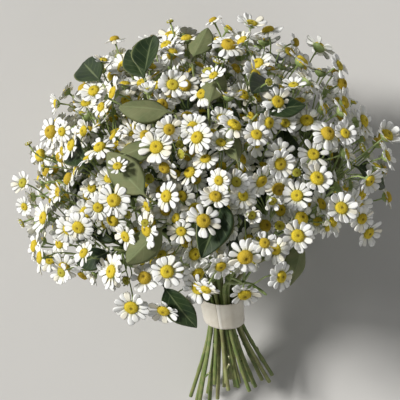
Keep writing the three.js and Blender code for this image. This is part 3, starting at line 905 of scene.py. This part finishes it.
def ray_white(settings):
    """White rays: fine lengthwise veins, a greenish foot and a slightly different white on each."""
    net = Net("ray_white", Specular_IOR_Level=0.3)
    around, along, _, chance = net.tile()
    veins = (around * (2 * math.pi * 11)).wave()
    soft = net.noise(net.unrolled(), 26.0, 2.0)
    net.bump(veins * 0.7 + soft * 0.3, 0.00012, 0.6)
    return net.paint(
        soft.step(0.2, 0.8, 0.45, 0.62),
        settings.ray_color,
        (chance.step(0.55, 1.0), (0.90, 0.86, 0.72)),
        (veins ** 3 * 0.16 * soft.step(0.3, 0.7, 0.4, 1.0), (0.70, 0.71, 0.60)),
        (along.step(0.10, 0.42, 0.62, 0.0), (0.66, 0.68, 0.30)),
    )


def disc_yellow(settings):
    """Golden discs packed with tiny florets: green when young, brown when old, with painted shade in the
    dimple.
    """
    net = Net("disc_yellow", Specular_IOR_Level=0.25)
    x, y, cell, chance = net.tile()
    radius = ((x - 0.5) ** 2 + (y - 0.5) ** 2).math("SQRT") * 2
    column, row, _ = net.split(cell)
    age = (row * TILES + column) / (TILES * TILES)
    florets = net.cells(net.unrolled(), TILES * 15.0, 0.55)
    net.bump(1 - florets, 0.0006, 1.0)
    return net.paint(
        0.7,
        settings.disc_color,
        (chance.step(0.0, 1.0), (0.74, 0.57, 0.04)),
        (age.step(0.0, 0.18, 1.0, 0.0), (0.52, 0.55, 0.08)),
        (age.step(0.72, 1.0, 0.0, 0.85), (0.56, 0.38, 0.04)),
        # Painted shade: dark brown filling the dimple in the middle of each disc
        (radius.step(0.05, 0.36, 0.95, 0.0), (0.11, 0.075, 0.008)),
        (radius.step(0.86, 1.0, 0.0, 0.45), (0.42, 0.30, 0.02)),
        (florets.step(0.25, 0.62, 0.0, 0.4), (0.42, 0.28, 0.01)),
    )


def stem_green(settings):
    """Fresh green at the flowers, deeper and browner towards the cut ends, which are pale."""
    net = Net("stem_green", Specular_IOR_Level=0.4)
    tone = net.tone()
    spots = net.noise(net.place(), 160.0, 4.0)
    net.bump(net.noise(net.place(), 900.0, 2.0), 0.0002, 0.5)
    return net.paint(
        spots.step(0.3, 0.7, 0.42, 0.6),
        (0.13, 0.19, 0.05),
        (spots.step(0.35, 0.68), (0.22, 0.23, 0.085)),
        (tone.step(0.0, 0.8), net.coated(settings.stem_color, (spots.step(0.3, 0.7), (0.36, 0.44, 0.17)))),
        (tone.step(-0.6, -0.1, 1.0, 0.0), (0.66, 0.64, 0.42)),
    )


def foliage_bark(settings):
    """Smooth olive bark with small pale specks, greener on the twigs and pale where it is cut."""
    net = Net("foliage_bark", Specular_IOR_Level=0.4)
    tone = net.tone()
    spots = net.noise(net.place(), 110.0, 5.0)
    net.bump(spots, 0.0003, 0.6)
    return net.paint(
        spots.step(0.3, 0.7, 0.45, 0.65),
        (0.20, 0.19, 0.08),
        (spots.step(0.35, 0.65), settings.bark_color),
        (net.cells(net.place(), 420.0).step(0.08, 0.22, 0.5, 0.0), (0.46, 0.42, 0.26)),
        (tone.step(0.5, 0.9), (0.30, 0.38, 0.14)),
        (tone.step(-0.6, -0.1, 1.0, 0.0), (0.68, 0.62, 0.42)),
    )


def leaf_green(settings):
    """Leathery leaves: dark above, pale grey-green below, with pale edges, midrib and side veins."""
    net = Net("leaf_green", Specular_IOR_Level=0.22)
    around, along, _ = net.split(net.unrolled())
    across = net.across(around).math("ABSOLUTE")
    below = around.step(0.499, 0.501)
    spots = net.noise(net.place(), 95.0, 4.0)
    cloud = spots.step(0.3, 0.7)
    vein = ((along * 9.5 - across * 1.7).math("FRACT") - 0.5).math("ABSOLUTE")
    veins = vein.step(0.0, 0.09, 1.0, 0.0) * across.step(0.75, 1.0, 1.0, 0.0)
    lines = (across.step(0.02, 0.09, 1.0, 0.0) * 0.55).math("MAXIMUM", veins * 0.22)
    net.bump(net.noise(net.place(), 700.0) * 0.4 - lines * 0.8, 0.0003, 0.6)
    return net.paint(
        below.step(0.0, 1.0, 0.46, 0.66) + spots.step(0.3, 0.7, -0.04, 0.08),
        settings.leaf_color,
        (cloud, (0.034, 0.056, 0.019)),
        (below, net.coated(settings.leaf_back_color, (cloud, (0.19, 0.20, 0.095)))),
        (lines * 0.75, (0.26, 0.31, 0.15)),
        (across.step(0.90, 0.99, 0.0, 0.5), (0.36, 0.38, 0.16)),
    )


def ribbon_satin(settings):
    """Ivory satin: close lengthwise threads, a corded edge, a painted highlight on the fold and painted
    shadow at the cut end.
    """
    net = Net("ribbon_satin", Specular_IOR_Level=0.55, Sheen_Weight=0.35, Sheen_Roughness=0.4,
              Anisotropic=0.45)
    around, along, _ = net.split(net.unrolled())
    across = net.across(around)
    edge = across.math("ABSOLUTE")
    warp, weft = (across * 190.0).wave(), (along * 2600.0).wave()
    cloud = net.noise(net.place(), 75.0)
    net.bump(warp * 0.5 + weft * 0.25 + edge.step(0.93, 0.95) * 0.8, 0.00015, 0.5)
    return net.paint(
        cloud.step(0.25, 0.75, 0.33, 0.46),
        settings.ribbon_color,
        (cloud.step(0.3, 0.7), (0.78, 0.72, 0.60)),
        (warp * weft * 0.22, (0.60, 0.53, 0.42)),
        (edge.step(0.93, 0.955, 0.0, 0.4), (0.66, 0.59, 0.46)),
        # Painted highlight: a pale cream band over the fold near the ribbon's end
        (along.step(0.982, 0.988, 0.0, 0.7), (0.95, 0.92, 0.84)),
        # Painted shadow: a dark line at the cut end, where it stands over the turn beneath
        (along.step(0.9945, 0.9965, 0.0, 0.8), (0.42, 0.36, 0.27)),
    )


def twine_fibre(settings):
    """Jute twine: twisted strands with painted shade in the grooves between them, and loose fibre."""
    net = Net("twine_fibre", Specular_IOR_Level=0.15)
    around, along, _ = net.split(net.unrolled())
    strands = ((around + along * 90.0) * (2 * math.pi * 3)).wave()
    fibre = net.noise(net.place(), 1500.0, 4.0)
    net.bump(strands + fibre * 0.4, 0.0003, 0.8)
    fluff = fibre.step(0.35, 0.7, 0.0, 0.5), (0.72, 0.60, 0.40)
    # Painted shade: the dark base colour shows in the grooves between strands, the paler one on their crests
    return net.paint(0.9, (0.30, 0.21, 0.10), (strands, (0.60, 0.47, 0.28)), fluff)


def floor_grey(settings):
    """A plain pale surface with the faintest mottling."""
    net = Net("floor_grey", Specular_IOR_Level=0.25)
    cloud = net.noise(net.place(), 9.0, 4.0)
    return net.paint(0.75, settings.floor_color, (cloud, [0.96 * v for v in settings.floor_color]))


def material_of(maker):
    """The material that a function makes, made once. Its name is kept apart from the frame's own."""
    return bpy.data.materials.get(maker.__name__ + "_fine") or maker(bpy.context.scene.bunch)


def color_property(name, description, default):
    return FloatVectorProperty(
        name=name, description=description, default=default, subtype="COLOR", size=3, min=0, max=1)


class BunchSettings(bpy.types.PropertyGroup):
    """Sizes and colours of the bunch that a user may change"""

    ray_width: FloatProperty(
        name="Ray width", description="Width of a ray as a share of the head's radius",
        default=0.42, min=0.2, max=0.8, subtype="FACTOR")
    rays_fewest: IntProperty(
        name="Fewest rays", description="Fewest rays on an open head", default=11, min=6, max=30)
    rays_most: IntProperty(
        name="Most rays", description="Most rays on an open head", default=16, min=6, max=30)
    disc_share: FloatProperty(
        name="Disc", description="The disc's radius as a share of the head's",
        default=0.40, min=0.2, max=0.7, subtype="FACTOR")
    ribbon_width: FloatProperty(
        name="Ribbon width", description="Width of the satin ribbon",
        default=0.025, min=0.01, max=0.05, unit="LENGTH")
    ribbon_turns: FloatProperty(
        name="Ribbon turns", description="How often the ribbon goes round the stems",
        default=2.05, min=1, max=4)
    ray_color: color_property("Rays", "Colour of the rays", (0.90, 0.905, 0.885))
    disc_color: color_property("Discs", "Colour of the fresh discs", (0.86, 0.69, 0.05))
    stem_color: color_property("Stems", "Colour of the young stems", (0.21, 0.29, 0.09))
    bark_color: color_property("Bark", "Colour of the leafy stems", (0.28, 0.31, 0.12))
    leaf_color: color_property("Leaves", "Colour of the leaves' upper side", (0.014, 0.030, 0.011))
    leaf_back_color: color_property("Leaf backs", "Colour of the leaves' underside", (0.135, 0.165, 0.070))
    ribbon_color: color_property("Ribbon", "Colour of the ribbon", (0.88, 0.83, 0.72))
    floor_color: color_property("Floor", "Colour of the floor", (0.62, 0.61, 0.59))


class BUNCH_OT_sprays(bpy.types.Operator):
    """Make every daisy spray: its green parts, its rays and its discs"""

    bl_idname = "bunch.sprays"
    bl_label = "Daisy sprays"

    def execute(self, context):
        settings = context.scene.bunch
        kinds = flower_kinds(settings)
        for n, stem in enumerate(FLOWERING):
            node = f"daisy_spray_{n + 1:02d}"
            heads = np.flatnonzero(HEAD_STEM == n)
            if not len(heads):
                raise RuntimeError(f"{node} has no heads")
            green, rays, discs = Skin(), Skin(), Skin()
            greens_of(green, stem, heads, kinds)
            rays_of(rays, heads, kinds, settings)
            discs_of(discs, heads, kinds, settings)
            green.piece(f"spray_{n + 1:02d}_green", stem_green, "stem_green", node)
            rays.piece(f"spray_{n + 1:02d}_rays", ray_white, "petal_white", node)
            discs.piece(f"spray_{n + 1:02d}_discs", disc_yellow, "disc_yellow", node)
        return {"FINISHED"}


class BUNCH_OT_foliage(bpy.types.Operator):
    """Make the leafy stems with a twig to each leaf, and the leaves deep inside the dome"""

    bl_idname = "bunch.foliage"
    bl_label = "Foliage stems"

    def execute(self, context):
        for n, stem in enumerate(FOLIAGE):
            node = f"foliage_stem_{n + 1:02d}"
            wood, inside = Skin(), Skin()
            deep = np.flatnonzero(INNER_STEM == n)
            stem_skin(wood, stem)
            leaf_twigs(wood, stem, LEAF_PLAN, np.flatnonzero(LEAF_STEM == n))
            leaf_twigs(wood, stem, INNER_PLAN, deep)
            for leaf in deep:
                inside.add(*leaf_points(INNER_PLAN, int(leaf)))
            wood.piece(f"leafy_stem_{n + 1:02d}", foliage_bark, "foliage_bark", node)
            inside.piece(f"inner_leaves_{n + 1:02d}", leaf_green, "leaf_green", node)
        return {"FINISHED"}


class BUNCH_OT_leaves(bpy.types.Operator):
    """Make every outer leaf with its stalk"""

    bl_idname = "bunch.leaves"
    bl_label = "Leaves"

    def execute(self, context):
        for n, leaf in enumerate(LEAF_ORDER):
            skin = Skin()
            skin.add(*leaf_points(LEAF_PLAN, int(leaf)))
            skin.piece(f"leaf_blade_{n + 1:02d}", leaf_green, "leaf_green", f"leaf_{n + 1:02d}")
        return {"FINISHED"}


class BUNCH_OT_ribbon(bpy.types.Operator):
    """Make the satin ribbon, wound round the stems with its end folded over at the front"""

    bl_idname = "bunch.ribbon"
    bl_label = "Ribbon"

    def execute(self, context):
        width = context.scene.bunch.ribbon_width
        points, ring, length = wound_ribbon(context.scene.bunch.ribbon_turns, width)
        skin = Skin()
        skin.add(points, RIBBON_ROWS, ring)
        piece = skin.piece("satin_ribbon", ribbon_satin, "ribbon_satin", "ribbon_wrap")
        return {"FINISHED"}


class BUNCH_OT_twine(bpy.types.Operator):
    """Make the twine that holds the stems under the ribbon"""

    bl_idname = "bunch.twine"
    bl_label = "Binding twine"

    def execute(self, context):
        angle = np.linspace(0, 2 * math.pi * TWINE_TURNS, TWINE_ROWS)
        line = round_tie(angle, TWINE_RING, np.linspace(-TWINE_RISE, TWINE_RISE, TWINE_ROWS))[None]
        radii = np.full((1, TWINE_ROWS), TWINE_RADIUS)
        skin = Skin()
        skin.add(tubes(line, radii, 8, side=turned(np.array([0, 0, 1.0]))), TWINE_ROWS, 8)
        skin.piece("twine_turns", twine_fibre, "twine_fibre", "binding_twine")
        return {"FINISHED"}


class BUNCH_OT_stage(bpy.types.Operator):
    """Make the floor, the lights and the camera"""

    bl_idname = "bunch.stage"
    bl_label = "Stage"

    def execute(self, context):
        scene = context.scene
        mesh = bpy.data.meshes.new("floor")
        corners = [(x * FLOOR_HALF, y * FLOOR_HALF, 0) for x, y in ((-1, -1), (1, -1), (1, 1), (-1, 1))]
        mesh.from_pydata(corners, [], [(0, 1, 2, 3)])
        mesh.materials.append(material_of(floor_grey))
        floor = bpy.data.objects.new("floor", mesh)
        scene.collection.objects.link(floor)
        world = bpy.data.worlds.new("studio")
        world.use_nodes = True
        background = world.node_tree.nodes["Background"]
        background.inputs["Color"].default_value = WORLD_COLOR
        background.inputs["Strength"].default_value = WORLD_STRENGTH
        scene.world = world
        for name, place, spread, power, color in LAMPS:
            lamp = bpy.data.lights.new(name, "SUN")
            lamp.angle, lamp.energy, lamp.color = math.radians(spread), power, color
            light = bpy.data.objects.new(name, lamp)
            light.location = place
            light.rotation_euler = (LIT_MIDDLE - Vector(place)).to_track_quat("-Z", "Y").to_euler()
            scene.collection.objects.link(light)
        data = bpy.data.cameras.new("camera")
        data.lens_unit = "FOV"
        data.angle = 2 * math.atan(0.5 * VIEW_WIDTH / CAMERA_DISTANCE)
        data.clip_start = 0.01
        z = np.array([0, -math.cos(CAMERA_ELEVATION), math.sin(CAMERA_ELEVATION)])
        level = np.array([1.0, 0, 0])
        x = level * math.cos(CAMERA_ROLL) + np.cross(z, level) * math.sin(CAMERA_ROLL)
        camera = bpy.data.objects.new("camera", data)
        camera.location = TIE + AIM + z * CAMERA_DISTANCE
        camera.rotation_euler = Matrix(np.stack([x, np.cross(z, x), z], 1).tolist()).to_euler()
        scene.collection.objects.link(camera)
        scene.camera = camera
        scene.view_settings.view_transform = "Standard"
        return {"FINISHED"}


OPERATORS = (
    BUNCH_OT_stage,
    BUNCH_OT_sprays,
    BUNCH_OT_foliage,
    BUNCH_OT_leaves,
    BUNCH_OT_ribbon,
    BUNCH_OT_twine,
)


class BUNCH_PT_panel(bpy.types.Panel):
    """Lists the pieces of the bunch"""

    bl_idname = "BUNCH_PT_panel"
    bl_label = "Daisy Bunch"
    bl_space_type = "VIEW_3D"
    bl_region_type = "UI"
    bl_category = "Bunch"

    def draw(self, context):
        for name in BunchSettings.__annotations__:
            self.layout.prop(context.scene.bunch, name)
        for operator in OPERATORS:
            self.layout.operator(operator.bl_idname)


CLASSES = (BunchSettings, *OPERATORS, BUNCH_PT_panel)


def register():
    for cls in CLASSES:
        bpy.utils.register_class(cls)
    bpy.types.Scene.bunch = PointerProperty(type=BunchSettings)


def unregister():
    del bpy.types.Scene.bunch
    for cls in reversed(CLASSES):
        bpy.utils.unregister_class(cls)


def main():
    register()
    for operator in OPERATORS:
        group, name = operator.bl_idname.split(".")
        getattr(getattr(bpy.ops, group), name)()


if __name__ == "__main__":
    main()
